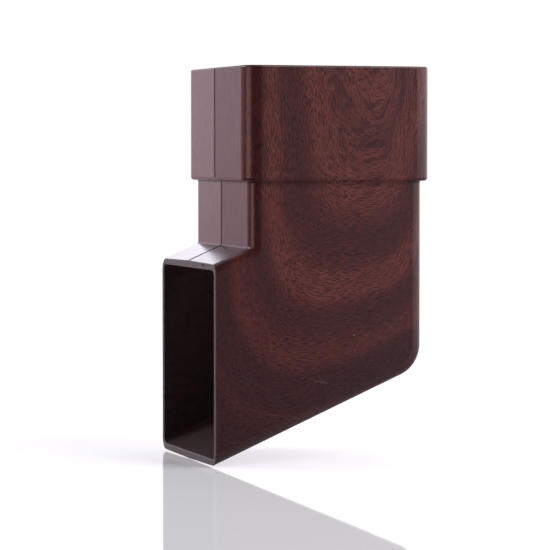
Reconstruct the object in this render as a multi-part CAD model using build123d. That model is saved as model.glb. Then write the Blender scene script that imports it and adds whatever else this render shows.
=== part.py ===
from build123d import *
import math
import os

# Downpipe shoe for a square rainwater pipe, moulded in one piece.
# Millimetres, +Z up. The origin is on the socket axis, at the pipe stop.
# The outlet faces -X, and the XZ plane is a plane of symmetry.

# Pipe that the socket takes
pipe_size = 65.0
pipe_corner_radius = 3.5
pipe_clearance = 0.3

# Socket
socket_wall = 2.2
socket_depth = 38.5
shoulder_thickness = 2.2
rim_round = 0.7
rim_lead_in = 0.6
shoulder_round = 1.2
shoulder_fillet = 0.6

# Square tube that bends from the body into the spout, as wide outside as the pipe
tube_wall = 2.0
tube_corner_radius = 4.0
front_length = 25.8
foot_round = 1.0
spout_tilt = 23.2
spout_reach = 45.5
heel_radius = 12.0
lip_chamfer = 0.25

# Mould, whose two halves meet in the plane of symmetry and draw apart along Y
draft_angle = 0.7
flash_height = 0.15
flash_width = 0.3

# Sizes that follow from those above
bore_size = pipe_size + 2 * pipe_clearance
bore_corner_radius = pipe_corner_radius + pipe_clearance
socket_size = bore_size + 2 * socket_wall
socket_corner_radius = bore_corner_radius + socket_wall
tube_half = pipe_size / 2
slope = math.tan(math.radians(spout_tilt))
upright_share = math.cos(math.radians(spout_tilt))
socket_crown = math.tan(math.radians(draft_angle)) * socket_size / 2
tube_crown = math.tan(math.radians(draft_angle)) * tube_half
cut_overrun = 5.0
tolerance = 0.01


def upright_block(section, bottom, top):
    """Upright block between two heights."""
    return extrude(Pos(0, 0, bottom) * section, top - bottom)


def socket_section():
    """Rounded square whose front and back fall away from the plane of symmetry."""
    half = socket_size / 2
    outline = Polyline(
        (-half, -half),
        (half, -half),
        (half + socket_crown, 0),
        (half, half),
        (-half, half),
        (-half - socket_crown, 0),
        close=True,
    )
    section = make_face(outline)
    corners = [corner for corner in section.vertices() if abs(corner.Y) > half - tolerance]
    return fillet(corners, socket_corner_radius)


def tube_side_outline(inset, top, reach):
    """Side view of the tube, from its upper end to a vertical cut across the spout, inset by a wall."""
    half = tube_half - inset
    upright_inset = inset / upright_share
    front_foot = -front_length - upright_inset + inset * slope
    lip_top = front_foot - (reach - half) * slope
    lip_bottom = lip_top - 2 * half / upright_share
    heel = lip_bottom + (reach + half) * slope
    outline = Polyline(
        (-half, top),
        (-half, front_foot),
        (-reach, lip_top),
        (-reach, lip_bottom),
        (half, heel),
        (half, top),
        close=True,
    )
    side = make_face(outline)
    side = fillet(side.vertices().sort_by_distance((-half, front_foot))[0], foot_round + inset)
    return fillet(side.vertices().sort_by_distance((half, heel))[0], heel_radius - inset)


def bent_tube(inset, top, reach, draft=0):
    """Solid square tube with a bend and rounded long edges, narrower towards its sides by the draft."""
    half = tube_half - inset
    crown = half * math.tan(math.radians(draft))
    outline = tube_side_outline(inset - crown, top + crown, reach + crown)
    block = extrude(Plane.XZ * outline, half, both=True, taper=draft)
    long_edges = [
        edge
        for edge in block.edges()
        if abs(abs(edge.center().Y) - half) < tolerance
        and edge.center().Z < top - tolerance
        and edge.center().X > tolerance - reach
    ]
    return fillet(long_edges, tube_corner_radius - inset)


def edges_in_plane(solid, axis, position, reach):
    """Edges that lie in a plane across the axis, no further than reach from the socket axis in X and Y."""
    return [
        edge
        for edge in solid.edges().filter_by_position(axis, position - tolerance, position + tolerance)
        if max(abs(edge.center().X), abs(edge.center().Y)) < reach + tolerance
    ]


def socket_block():
    """Outside of the socket, with its rim and its shoulder rounded."""
    block = upright_block(socket_section(), -shoulder_thickness, socket_depth)
    block = fillet(block.faces().sort_by(Axis.Z)[-1].edges(), rim_round)
    return fillet(block.faces().sort_by(Axis.Z)[0].edges(), shoulder_round)


def flash_line():
    """Thin rib outside the socket and the tube, where the two halves of the mould meet."""
    socket_low = shoulder_round - shoulder_thickness
    socket_height = socket_depth - rim_round - socket_low
    socket_side = Rectangle(socket_size + 2 * socket_crown + 2 * flash_height, socket_height)
    socket_side -= Rectangle(socket_size - socket_wall, socket_height)
    tube_side = tube_side_outline(-tube_crown - flash_height, -shoulder_thickness, spout_reach - lip_chamfer)
    tube_side -= tube_side_outline(tube_wall / 2, cut_overrun, spout_reach + cut_overrun)
    side = Pos(0, socket_low + socket_height / 2) * socket_side + tube_side
    return extrude(Plane.XZ * side, flash_width / 2, both=True)


def downpipe_shoe():
    """Socket and bent tube in one shell."""
    tube = bent_tube(0, 0, spout_reach + cut_overrun, draft_angle)
    tube = split(tube, Plane.YZ.offset(-spout_reach))
    shell = socket_block() + tube
    neck = edges_in_plane(shell, Axis.Z, -shoulder_thickness, tube_half + tube_crown)
    shell = fillet(neck, shoulder_fillet)
    bore = RectangleRounded(bore_size, bore_size, bore_corner_radius)
    shell -= upright_block(bore, 0, socket_depth + cut_overrun)
    shell -= bent_tube(tube_wall, cut_overrun, spout_reach + cut_overrun)
    mouth = edges_in_plane(shell, Axis.Z, socket_depth, bore_size / 2)
    shell = chamfer(mouth, rim_lead_in)
    lip = shell.edges().filter_by_position(Axis.X, -spout_reach - tolerance, -spout_reach + tolerance)
    return chamfer(lip, lip_chamfer) + flash_line()


os.makedirs("parts", exist_ok=True)
export_step(downpipe_shoe(), "parts/downpipe_shoe.step")
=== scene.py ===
import math

import bpy
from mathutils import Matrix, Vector


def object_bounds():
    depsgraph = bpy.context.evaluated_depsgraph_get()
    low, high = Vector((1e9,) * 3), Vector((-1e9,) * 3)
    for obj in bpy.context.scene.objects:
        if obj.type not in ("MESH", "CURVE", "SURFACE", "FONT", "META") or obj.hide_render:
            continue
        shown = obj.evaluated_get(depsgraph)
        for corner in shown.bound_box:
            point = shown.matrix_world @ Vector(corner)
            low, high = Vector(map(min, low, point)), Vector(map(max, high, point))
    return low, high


# Downpipe shoe: one moulding with a rosewood grain print outside, and bare plastic inside and on its ends.
# Lengths are in metres. Inside the materials, positions are turned into millimetres.

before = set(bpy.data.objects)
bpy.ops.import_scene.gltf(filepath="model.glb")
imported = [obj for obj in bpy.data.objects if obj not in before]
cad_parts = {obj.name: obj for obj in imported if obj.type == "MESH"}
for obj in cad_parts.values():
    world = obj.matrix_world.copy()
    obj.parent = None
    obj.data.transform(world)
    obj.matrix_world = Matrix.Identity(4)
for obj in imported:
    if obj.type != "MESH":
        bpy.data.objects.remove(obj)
cad_low, cad_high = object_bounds()

NODE = "downpipe_shoe"
MM = 0.001
WHITE = (1.0, 1.0, 1.0)

# Places on the part, from the frame's box and, for the tube, from the part's own sizes
rim_z = cad_high.z
lip_x = cad_low.x
foot_z = cad_low.z
stop_z = 0.0
socket_half = cad_high.y
shoulder_step = 2.5 * MM
tube_half = socket_half - shoulder_step
spout_tilt = math.radians(23.2)
bend_z = -64.0 * MM

# Camera that took the photograph, solved from the edges of the part
PHOTO_PIXELS = 550
FOCAL_PIXELS = 2699.5
SENSOR_WIDTH = 36.0
camera_yaw = math.radians(18.976)
camera_pitch = math.radians(-2.598)
camera_distance = 0.98635
camera_sideways = -0.011684
camera_below_rim = 0.030598


class Graph:
    """Short calls that add shader nodes and link them."""

    def __init__(self, tree):
        self.tree = tree

    def add(self, kind, **settings):
        node = self.tree.nodes.new(kind)
        for name, value in settings.items():
            setattr(node, name, value)
        return node

    def feed(self, socket, value):
        """Link value to the socket, or set it there if it is a number or a colour."""
        if isinstance(value, bpy.types.NodeSocket):
            self.tree.links.new(value, socket)
        else:
            socket.default_value = value

    def math(self, operation, *values):
        node = self.add("ShaderNodeMath", operation=operation)
        for socket, value in zip(node.inputs, values):
            self.feed(socket, value)
        return node.outputs[0]

    def span(self, value, low, high, to_low=0.0, to_high=1.0):
        """Smooth step from to_low at low to to_high at high."""
        node = self.add("ShaderNodeMapRange", interpolation_type="SMOOTHSTEP")
        for name, number in (
            ("Value", value),
            ("From Min", low),
            ("From Max", high),
            ("To Min", to_low),
            ("To Max", to_high),
        ):
            self.feed(node.inputs[name], number)
        return node.outputs[0]

    def blend(self, factor, first, second):
        """Number that goes from first to second."""
        return self.math("MULTIPLY_ADD", self.math("SUBTRACT", second, first), factor, first)

    def vector(self, x, y, z):
        node = self.add("ShaderNodeCombineXYZ")
        for socket, value in zip(node.inputs, (x, y, z)):
            self.feed(socket, value)
        return node.outputs[0]

    def separate(self, vector):
        """X, Y and Z of a vector."""
        node = self.add("ShaderNodeSeparateXYZ")
        self.feed(node.inputs[0], vector)
        return node.outputs

    def noise(self, position, scale=1.0, detail=2.0, roughness=0.5):
        node = self.add("ShaderNodeTexNoise")
        self.feed(node.inputs["Vector"], position)
        node.inputs["Scale"].default_value = scale
        node.inputs["Detail"].default_value = detail
        node.inputs["Roughness"].default_value = roughness
        return node.outputs[0]

    def ramp(self, value, stops):
        """Colour ramp through (position, colour) stops."""
        node = self.add("ShaderNodeValToRGB")
        elements = node.color_ramp.elements
        while len(elements) < len(stops):
            elements.new(1.0)
        for element, (position, colour) in zip(elements, stops):
            element.position = position
            element.color = (*colour, 1.0)
        self.feed(node.inputs[0], value)
        return node.outputs[0]

    def mix(self, factor, first, second):
        """Colour that goes from first to second, through the colour sockets of a mix node."""
        node = self.add("ShaderNodeMix", data_type="RGBA")
        self.feed(node.inputs[0], factor)
        self.feed(node.inputs[6], first)
        self.feed(node.inputs[7], second)
        return node.outputs[2]

    def mix_shaders(self, factor, first, second):
        node = self.add("ShaderNodeMixShader")
        self.feed(node.inputs[0], factor)
        self.feed(node.inputs[1], first)
        self.feed(node.inputs[2], second)
        return node.outputs[0]

    def camera_ray(self):
        """1 where the camera itself looks, and 0 in reflections and for light."""
        return self.add("ShaderNodeLightPath").outputs["Is Camera Ray"]

    def bump(self, height, depth):
        """Bump whose height runs over depth metres."""
        node = self.add("ShaderNodeBump")
        node.inputs["Strength"].default_value = 1.0
        node.inputs["Distance"].default_value = depth
        self.feed(node.inputs["Height"], height)
        return node.outputs[0]

    def position_mm(self):
        """X, Y and Z on the part in millimetres, and the three together."""
        scaled = self.add("ShaderNodeVectorMath", operation="SCALE")
        self.feed(scaled.inputs[0], self.add("ShaderNodeTexCoord").outputs["Object"])
        scaled.inputs["Scale"].default_value = 1 / MM
        return (*self.separate(scaled.outputs[0]), scaled.outputs[0])


def new_material(name):
    material = bpy.data.materials.new(name)
    material.use_nodes = True
    shader = material.node_tree.nodes["Principled BSDF"]
    return material, Graph(material.node_tree), shader


# Grain print on the sides. Rings are nested arches, numbered by their depth below the rim where they turn
crown_x = 16.9
crown_drift = 0.254
arm_scale = 0.564
arm_power = 1.32
arch_roundness = 1.0
arch_roundness_per_mm = 0.009
turn_scale = 4.31
turn_power = 0.842
turn_squareness = 6.0
climb_to_right = 0.27
climb_depths = (35.0, 105.0)
arm_to_foot = 25.0
mm_per_ring_on_arms = 0.42
ring_span = 150.0
crown_rings = (32.0, 60.0)
least_depth = 0.1

# Slow shift of the whole print, and waves in its rings, in millimetres and waves per millimetre
drift_size = 2.0
drift_scale = 0.05
wave_size = 2.5
wave_size_in_crown = 6.0
wave_scale = 0.13

# The far side shows another piece of the same print
far_across = 5.0
far_height = -13.0
far_layer = 7.3

# Shares of the facing along Y and Z at which a narrow face gives way to a wide one and to the spout's top
narrow_facing = (0.10, 0.50)
up_facing = (0.2, 0.8)

# Streaks along the rings: count per millimetre across them, length in millimetres, seed and noise detail
BROAD_STREAKS = (0.45, 12.0, 0.0, 2.0)
FINE_STREAKS = (3.5, 2.9, 3.1, 0.0)
CURLS = (0.42, 7.0, 5.7, 1.0)
lines_per_mm = 1.15
line_shake = 16.0
line_shake_scale = 0.3
line_share = 0.10

# Redness of the print by ring: 0 is the dark wood and 1 the reddest
RING_REDNESS = (
    (0, 1.0),
    (11, 1.0),
    (20, 0.92),
    (27, 0.76),
    (33, 0.92),
    (47, 1.0),
    (54, 0.72),
    (60, 0.50),
    (69, 0.57),
    (74, 0.88),
    (82, 0.92),
    (86, 0.56),
    (90, 0.46),
    (98, 0.60),
    (103, 0.76),
    (106, 0.70),
    (110, 0.38),
    (120, 0.33),
    (124, 0.52),
    (128, 0.34),
    (150, 0.22),
)
narrow_face_redness = 0.84
far_half_redness = 0.22
spout_top_redness = 0.45

# How far the streaks change the redness, and how far they shift the edges of the bands in rings
streak_redness = 0.30
streak_redness_narrow = 0.65
ragged_on_foot = 6.0
ragged_on_arms = 12.0
curl_edges = (0.03, 0.13)
curl_darkness = 0.35

# Tones of the wood from dark to reddest, its dark dashes, and painted shade on the rib where the halves of
# the mould met
WOOD_TONES = (
    (0.0, (0.019, 0.0058, 0.0068)),
    (0.30, (0.046, 0.0118, 0.0130)),
    (0.50, (0.071, 0.0160, 0.0166)),
    (0.75, (0.111, 0.0232, 0.0214)),
    (1.0, (0.172, 0.0400, 0.0362)),
)
DASH_TONE = (0.018, 0.0050, 0.0042, 1.0)
dash_edges = (-0.08, 0.17)
dash_share = 0.78
dash_share_narrow = 0.42
# Painted shade of the rib where the halves of the mould met
PARTING_SHADE_TONE = (0.020, 0.008, 0.008, 1.0)
parting_shade_edges = (0.14, 0.22)
parting_shade_share = 0.35

# Gloss of the print and depth of its fibres
film_roughness = 0.24
fibre_roughness = 0.08
fibre_depth = 0.004 * MM

# Wear on the near side and painted shade in a chip on the lip: middle, half length, half width and slope,
# in millimetres and degrees
SCUFF = ((-6.3, -73.3), 3.4, 0.42, -9.0)
SPECK = ((6.2, -56.9), 0.20, 0.20, 0.0)
LIP_CHIP_SHADE = ((-17.6, -31.9), 2.3, 0.40, 0.0)
SCUFF_TONE = (0.20, 0.18, 0.185, 1.0)
SPECK_TONE = (0.95, 0.90, 0.92, 1.0)
# Painted shade inside the chip on the lip
CHIP_SHADE_TONE = (0.012, 0.008, 0.008, 1.0)
scuff_share = 0.24
mark_full_length = 0.6
mark_full_width = 0.3
mark_breaks = (0.36, 0.56)
mark_breaks_scale = 1.3
lip_reach = 1.0


def unrolled_place(graph):
    """Place on the print, with the narrow faces folded out beside the wide ones."""
    x, y, z, _ = graph.position_mm()
    tuck = graph.math("SUBTRACT", tube_half / MM, graph.math("ABSOLUTE", y))
    tuck = graph.math("MAXIMUM", tuck, 0.0)
    normal_x, normal_y, normal_z = graph.separate(graph.add("ShaderNodeNewGeometry").outputs["Normal"])
    far_half = graph.math("GREATER_THAN", y, 0.0)
    across = graph.math("MULTIPLY_ADD", normal_x, tuck, x)
    across = graph.math("MULTIPLY_ADD", far_half, far_across, across)
    height = graph.math("MULTIPLY_ADD", normal_z, tuck, z)
    height = graph.math("MULTIPLY_ADD", far_half, far_height, height)
    on_narrow = graph.span(graph.math("ABSOLUTE", normal_y), *narrow_facing, 1.0, 0.0)
    facing_up = graph.span(normal_z, *up_facing)
    return across, height, on_narrow, facing_up, far_half


def grain_rings(graph, across, height, place):
    """Ring number, distance along the ring in millimetres, and how far it is an arm of the arch."""
    drift = graph.noise(place, scale=drift_scale, detail=1.0)
    drift = graph.math("MULTIPLY_ADD", drift, 2 * drift_size, -drift_size)
    depth = graph.math("SUBTRACT", rim_z / MM + least_depth, height)
    depth = graph.math("MAXIMUM", graph.math("ADD", depth, drift), least_depth)
    middle = graph.math("MULTIPLY_ADD", depth, -crown_drift, crown_x)
    offset = graph.math("SUBTRACT", graph.math("ADD", across, drift), middle)
    left = graph.math("MAXIMUM", graph.math("MULTIPLY", offset, -1.0), 0.0)
    right = graph.math("MAXIMUM", offset, 0.0)

    def arch(side, foot, squareness):
        """Length of side and foot taken together, square at the corner where squareness is high."""
        raised_side = graph.math("POWER", side, squareness)
        raised_foot = graph.math("POWER", foot, squareness)
        both = graph.math("ADD", raised_side, raised_foot)
        return graph.math("POWER", both, graph.math("DIVIDE", 1.0, squareness))

    arm = graph.math("MULTIPLY", graph.math("POWER", left, arm_power), arm_scale)
    roundness = graph.math("MULTIPLY_ADD", depth, arch_roundness_per_mm, arch_roundness)
    turn = graph.math("MULTIPLY", graph.math("POWER", right, turn_power), turn_scale)
    climb = graph.math("MULTIPLY", right, graph.span(depth, *climb_depths, 0.0, climb_to_right))
    left_ring = arch(arm, depth, roundness)
    right_ring = arch(turn, graph.math("ADD", depth, climb), turn_squareness)
    ring = graph.math("SUBTRACT", graph.math("ADD", left_ring, right_ring), depth)

    past_middle = graph.math("MULTIPLY", graph.math("GREATER_THAN", offset, 0.0), 2.0)
    rise = graph.math("MULTIPLY", past_middle, graph.math("SUBTRACT", ring, depth))
    along = graph.math("ADD", graph.math("ADD", offset, depth), rise)
    sideways = graph.math("MAXIMUM", arm, turn)
    on_arm = graph.span(graph.math("SUBTRACT", sideways, depth), -arm_to_foot, arm_to_foot)
    return ring, along, on_arm


def grain_marks(graph, rings, along, on_arm, far_half, place):
    """Broad streaks, fine fibres and curls that follow the rings, each about zero."""

    def even(per_mm, drawn):
        """What drawn makes of the rings, as fine on the arms of the arches as at their foot."""
        foot = drawn(graph.math("MULTIPLY", rings, per_mm))
        arm = drawn(graph.math("MULTIPLY", rings, per_mm * mm_per_ring_on_arms))
        return graph.blend(on_arm, foot, arm)

    def streaks(per_mm, length, seed, detail):
        """Noise with its fineness across the rings and its length along them."""
        lengthwise = graph.math("DIVIDE", along, length)
        layer = graph.math("MULTIPLY_ADD", far_half, far_layer, seed)

        def drawn(scaled_rings):
            return graph.noise(graph.vector(scaled_rings, lengthwise, layer), detail=detail)

        return graph.math("SUBTRACT", even(per_mm, drawn), 0.5)

    def lines(per_mm, shake):
        """Even lines along the rings, from -1 to 1, shaken out of step by noise."""
        phase = graph.math("MULTIPLY", graph.noise(place, scale=line_shake_scale, detail=1.0), shake)

        def drawn(scaled_rings):
            return graph.math("SINE", graph.math("ADD", scaled_rings, phase))

        return even(per_mm * math.tau, drawn)

    broad = streaks(*BROAD_STREAKS)
    fibres = graph.math("MULTIPLY_ADD", lines(lines_per_mm, line_shake), line_share, streaks(*FINE_STREAKS))
    curls = streaks(*CURLS)
    return broad, fibres, curls


def wear_and_shade_mark(graph, mark, on_lip=False):
    """Soft patch of wear on the near side, or of painted shade in the chip on the lip, broken up by noise.
    """
    (middle_across, middle_z), half_length, half_width, slope = mark
    x, y, z, place = graph.position_mm()
    if on_lip:
        in_reach = graph.math("LESS_THAN", x, lip_x / MM + lip_reach)
    else:
        in_reach = graph.math("LESS_THAN", y, 0.0)
    from_middle = graph.math("SUBTRACT", y if on_lip else x, middle_across)
    from_z = graph.math("SUBTRACT", z, middle_z)
    run, rise = math.cos(math.radians(slope)), math.sin(math.radians(slope))
    forward = graph.math("MULTIPLY_ADD", from_z, rise, graph.math("MULTIPLY", from_middle, run))
    aside = graph.math("MULTIPLY_ADD", from_z, run, graph.math("MULTIPLY", from_middle, -rise))
    forward, aside = graph.math("ABSOLUTE", forward), graph.math("ABSOLUTE", aside)
    length = graph.span(forward, mark_full_length * half_length, half_length, 1.0, 0.0)
    width = graph.span(aside, mark_full_width * half_width, half_width, 1.0, 0.0)
    breaks = graph.span(graph.noise(place, scale=mark_breaks_scale), *mark_breaks)
    shape = graph.math("MULTIPLY", length, width)
    return graph.math("MULTIPLY", shape, graph.math("MULTIPLY", breaks, in_reach))


def film_material():
    """Glossy rosewood print."""
    material, graph, shader = new_material("rosewood_film")
    _, y, _, place = graph.position_mm()
    across, height, on_narrow, facing_up, far_half = unrolled_place(graph)
    ring, along, on_arm = grain_rings(graph, across, height, place)
    in_crown = graph.span(ring, *crown_rings, 1.0, 0.0)

    wave = graph.math("SUBTRACT", graph.noise(place, scale=wave_scale), 0.5)
    wave = graph.math("MULTIPLY", wave, graph.blend(in_crown, wave_size, wave_size_in_crown))
    waved = graph.math("MULTIPLY_ADD", wave, graph.math("ADD", on_arm, 1.0), ring)
    broad, fibres, curls = grain_marks(graph, waved, along, on_arm, far_half, place)

    ragged = graph.math("MULTIPLY_ADD", broad, graph.blend(on_arm, ragged_on_foot, ragged_on_arms), waved)
    stops = [(number / ring_span, (redness,) * 3) for number, redness in RING_REDNESS]
    redness = graph.ramp(graph.math("DIVIDE", ragged, ring_span), stops)
    redness = graph.math("MULTIPLY_ADD", broad, streak_redness, redness)
    narrow = graph.math("MULTIPLY_ADD", far_half, far_half_redness, narrow_face_redness)
    narrow = graph.blend(facing_up, narrow, spout_top_redness)
    narrow = graph.math("MULTIPLY_ADD", broad, streak_redness_narrow, narrow)
    redness = graph.blend(on_narrow, redness, narrow)
    figure = graph.math("MULTIPLY", graph.span(curls, *curl_edges), in_crown)
    redness = graph.math("MULTIPLY", redness, graph.blend(figure, 1.0, 1.0 - curl_darkness))

    dashes = graph.blend(on_narrow, dash_share, dash_share_narrow)
    dashes = graph.math("MULTIPLY", graph.span(fibres, *dash_edges), dashes)
    wood = graph.mix(dashes, graph.ramp(redness, WOOD_TONES), DASH_TONE)
    # Painted shade along the rib where the halves of the mould met
    parting_shade = graph.span(graph.math("ABSOLUTE", y), *parting_shade_edges, parting_shade_share, 0.0)
    wood = graph.mix(parting_shade, wood, PARTING_SHADE_TONE)
    wood = graph.mix(graph.math("MULTIPLY", wear_and_shade_mark(graph, SCUFF), scuff_share), wood, SCUFF_TONE)
    wood = graph.mix(wear_and_shade_mark(graph, SPECK), wood, SPECK_TONE)

    roughness = graph.math("MULTIPLY_ADD", fibres, fibre_roughness, film_roughness)
    graph.feed(shader.inputs["Base Color"], wood)
    graph.feed(shader.inputs["Roughness"], roughness)
    graph.feed(shader.inputs["Normal"], graph.bump(fibres, fibre_depth))
    return material


# Bare plastic: tones of its clouds, roughness and level of gloss; the inside tones are also darkened as
# painted shade in the hollow
END_TONES = ((0.35, (0.062, 0.044, 0.043)), (0.65, (0.120, 0.092, 0.090)))
# Inside: the bare plastic darkened by painted shade
INSIDE_TONES_WITH_SHADE = ((0.35, (0.040, 0.0230, 0.0240)), (0.65, (0.056, 0.0335, 0.0345)))
end_roughness = 0.36
end_gloss = 0.35
inside_roughness = 0.60
inside_gloss = 0.10
cloud_scale = 0.5
cloud_roughness = 0.15
grit_scale = 2.5
grit_depth = 0.03 * MM


def bare_material(name, tones, roughness, gloss):
    """Dull plastic with a faint cloudy tone, and painted shade in a chip on the lip."""
    material, graph, shader = new_material(name)
    place = graph.position_mm()[3]
    cloud = graph.noise(place, scale=cloud_scale, detail=4.0, roughness=0.65)
    # Painted shade in the chip on the lip, which also dulls its gloss there
    chip_shade = wear_and_shade_mark(graph, LIP_CHIP_SHADE, on_lip=True)
    dullness = graph.math("MULTIPLY_ADD", cloud, cloud_roughness, roughness)
    grit = graph.noise(place, scale=grit_scale, detail=3.0)
    graph.feed(shader.inputs["Base Color"], graph.mix(chip_shade, graph.ramp(cloud, tones), CHIP_SHADE_TONE))
    graph.feed(shader.inputs["Roughness"], graph.blend(chip_shade, dullness, 1.0))
    graph.feed(shader.inputs["Normal"], graph.bump(grit, grit_depth))
    shader.inputs["Specular IOR Level"].default_value = gloss
    return material


# Which facets are ends and inside: depth of an end face, tolerance of the stop, facings and inward lean
end_depth = 0.5 * MM
stop_tolerance = 0.05 * MM
end_facing = 0.6
stop_facing = 0.9
inward_lean = 1.0 * MM

FILM, ENDS, INSIDE = range(3)


def axis_point(place):
    """Nearest point to place on the bent line through the middle of the part."""
    bend = Vector((0, 0, bend_z))
    on_socket = Vector((0, 0, max(place.z, bend_z)))
    run = Vector((-math.cos(spout_tilt), 0, -math.sin(spout_tilt)))
    on_spout = bend + run * max((place - bend).dot(run), 0)
    return min(on_socket, on_spout, key=lambda point: (place - point).length)


def surface_of(polygon):
    """Which finish a facet of the part has."""
    place, normal = polygon.center, polygon.normal
    if place.z > rim_z - end_depth and normal.z > end_facing:
        return ENDS
    if place.x < lip_x + end_depth and normal.x < -end_facing:
        return ENDS
    if abs(place.z - stop_z) < stop_tolerance and normal.z > stop_facing:
        return INSIDE
    faces_in = normal.dot(place - axis_point(place)) < -inward_lean
    return INSIDE if faces_in else FILM


def dress_part():
    """Give each facet of the part its finish."""
    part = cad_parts[NODE]
    part.data.materials.clear()
    part.data.materials.append(film_material())
    part.data.materials.append(bare_material("bare_plastic_ends", END_TONES, end_roughness, end_gloss))
    # Inside: bare plastic with painted shade in the hollow
    part.data.materials.append(
        bare_material("bare_plastic_inside_with_shade", INSIDE_TONES_WITH_SHADE, inside_roughness, inside_gloss)
    )
    for polygon in part.data.polygons:
        polygon.material_index = surface_of(polygon)


# Floor: half its width, the distances over which it fades, and how far it is pale, glowing and polished
floor_half = 0.9
floor_fade = (0.25, 0.85)
FLOOR_TONE = (0.90, 0.90, 0.90, 1.0)
floor_roughness = 0.6
floor_glow = 0.32
floor_polish = 0.50
polish_roughness = 0.03


def floor_material():
    """Pale and half polished, and clear where the floor ends."""
    material, graph, shader = new_material("pale_floor")
    shader.inputs["Base Color"].default_value = FLOOR_TONE
    shader.inputs["Roughness"].default_value = floor_roughness
    shader.inputs["Specular IOR Level"].default_value = 0.0
    shader.inputs["Emission Color"].default_value = (*WHITE, 1.0)
    glow = graph.math("MULTIPLY", graph.camera_ray(), floor_glow)
    graph.feed(shader.inputs["Emission Strength"], glow)

    mirror = graph.add("ShaderNodeBsdfGlossy")
    mirror.inputs["Roughness"].default_value = polish_roughness
    polished = graph.mix_shaders(floor_polish, shader.outputs[0], mirror.outputs[0])
    from_middle = graph.add("ShaderNodeVectorMath", operation="LENGTH")
    graph.feed(from_middle.inputs[0], graph.add("ShaderNodeTexCoord").outputs["Object"])
    fade = graph.span(from_middle.outputs["Value"], *floor_fade)
    clear = graph.add("ShaderNodeBsdfTransparent")
    faded = graph.mix_shaders(fade, polished, clear.outputs[0])
    graph.feed(material.node_tree.nodes["Material Output"].inputs["Surface"], faded)
    return material


def make_floor():
    """Pale floor under the part, which fades into the white behind it."""
    mesh = bpy.data.meshes.new("floor")
    corners = [(x * floor_half, y * floor_half, foot_z) for x, y in ((-1, -1), (1, -1), (1, 1), (-1, 1))]
    mesh.from_pydata(corners, [], [(0, 1, 2, 3)])
    mesh.materials.append(floor_material())
    floor = bpy.data.objects.new("floor", mesh)
    floor.visible_glossy = False
    bpy.context.scene.collection.objects.link(floor)


# Tints of the studio light
NEUTRAL = (0.99, 0.97, 1.05)
COOL = (1.0, 0.96, 1.11)
WARM = (1.30, 0.74, 0.68)

# Soft boxes: name, place, width and height, radiance and tint
LAMPS = (
    ("key_right", (1.33, -1.33, 1.31), (1.8, 1.5), 3.5, WHITE),
    ("left_above", (-1.5, 0.87, 0.72), (1.2, 0.6), 7.9, WHITE),
    ("left_strip", (-1.46, -0.36, 0.0), (0.88, 0.45), 1.75, WARM),
    ("back_box", (0.75, 1.65, 0.65), (1.3, 0.7), 1.9, COOL),
)


def make_lamp(name, place, size, radiance, tint):
    """Soft box aimed at the part, with the radiance that its face shows."""
    width, height = size
    light = bpy.data.lights.new(name, "AREA")
    light.shape = "RECTANGLE"
    light.size = width
    light.size_y = height
    light.energy = radiance * math.pi * width * height
    light.color = tint
    lamp = bpy.data.objects.new(name, light)
    lamp.location = place
    aim = Vector((0, 0, (rim_z + foot_z) / 2)) - Vector(place)
    lamp.rotation_mode = "QUATERNION"
    lamp.rotation_quaternion = aim.to_track_quat("-Z", "Y")
    lamp.visible_camera = False
    bpy.context.scene.collection.objects.link(lamp)


# Light of the studio walls by bearing in degrees: 0 is behind the part, negative to its left
WALL_LIGHT = (
    (-180, 0.05, NEUTRAL),
    (-140, 0.05, NEUTRAL),
    (-120, 0.12, NEUTRAL),
    (-58, 0.12, NEUTRAL),
    (-52, 0.38, COOL),
    (-28, 0.41, COOL),
    (-20, 0.45, COOL),
    (-16, 0.88, COOL),
    (-11, 1.0, COOL),
    (0, 1.0, NEUTRAL),
    (60, 1.15, NEUTRAL),
    (130, 1.25, NEUTRAL),
    (150, 1.0, NEUTRAL),
    (156, 0.72, NEUTRAL),
    (159, 0.22, NEUTRAL),
    (162.5, 0.07, NEUTRAL),
    (167, 0.05, NEUTRAL),
    (180, 0.05, NEUTRAL),
)

# The same light by height: from and to on a unit sphere, and its share at each
HORIZON = (-0.13, 0.07, 0.62, 1.25)
CEILING = (0.12, 0.36, 1.0, 0.6)
GROUND = (-0.5, -0.14, 0.5, 1.0)

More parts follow.
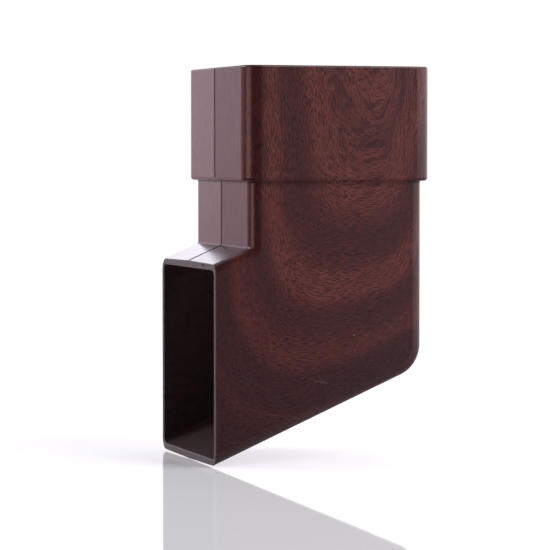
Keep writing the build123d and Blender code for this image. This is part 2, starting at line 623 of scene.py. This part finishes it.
# A colour ramp ends at 1, so the light is scaled down for it and up again after it
RAMP_SCALE = 2.0


def make_world():
    """Studio walls around the part, white everywhere to the camera."""
    world = bpy.data.worlds.new("studio")
    bpy.context.scene.world = world
    world.use_nodes = True
    graph = Graph(world.node_tree)
    x, y, z = graph.separate(graph.add("ShaderNodeTexCoord").outputs["Generated"])
    turn = graph.math("MULTIPLY_ADD", graph.math("ARCTAN2", x, y), 1 / math.tau, 0.5)
    stops = [
        (bearing / 360 + 0.5, [level * share / RAMP_SCALE for share in tint])
        for bearing, level, tint in WALL_LIGHT
    ]
    strength = RAMP_SCALE
    for band in (HORIZON, CEILING, GROUND):
        strength = graph.math("MULTIPLY", graph.span(z, *band), strength)
    walls = world.node_tree.nodes["Background"]
    graph.feed(walls.inputs["Color"], graph.ramp(turn, stops))
    graph.feed(walls.inputs["Strength"], strength)

    backdrop = graph.add("ShaderNodeBackground")
    backdrop.inputs["Color"].default_value = (*WHITE, 1.0)
    either = graph.mix_shaders(graph.camera_ray(), walls.outputs[0], backdrop.outputs[0])
    graph.feed(world.node_tree.nodes["World Output"].inputs["Surface"], either)


def make_camera():
    """Camera at the photograph's place, with its focal length in pixels."""
    level = Vector((math.sin(camera_yaw), math.cos(camera_yaw), 0))
    right = Vector((math.cos(camera_yaw), -math.sin(camera_yaw), 0))
    look = level * math.cos(camera_pitch) + Vector((0, 0, math.sin(camera_pitch)))
    data = bpy.data.cameras.new("camera")
    data.sensor_width = SENSOR_WIDTH
    data.lens = FOCAL_PIXELS / PHOTO_PIXELS * SENSOR_WIDTH
    camera = bpy.data.objects.new("camera", data)
    camera.location = right * camera_sideways - level * camera_distance
    camera.location.z = rim_z - camera_below_rim
    camera.rotation_mode = "QUATERNION"
    camera.rotation_quaternion = look.to_track_quat("-Z", "Y")
    bpy.context.scene.collection.objects.link(camera)
    bpy.context.scene.camera = camera


dress_part()
make_floor()
for lamp in LAMPS:
    make_lamp(*lamp)
make_world()
make_camera()
bpy.context.scene.view_settings.view_transform = "Standard"
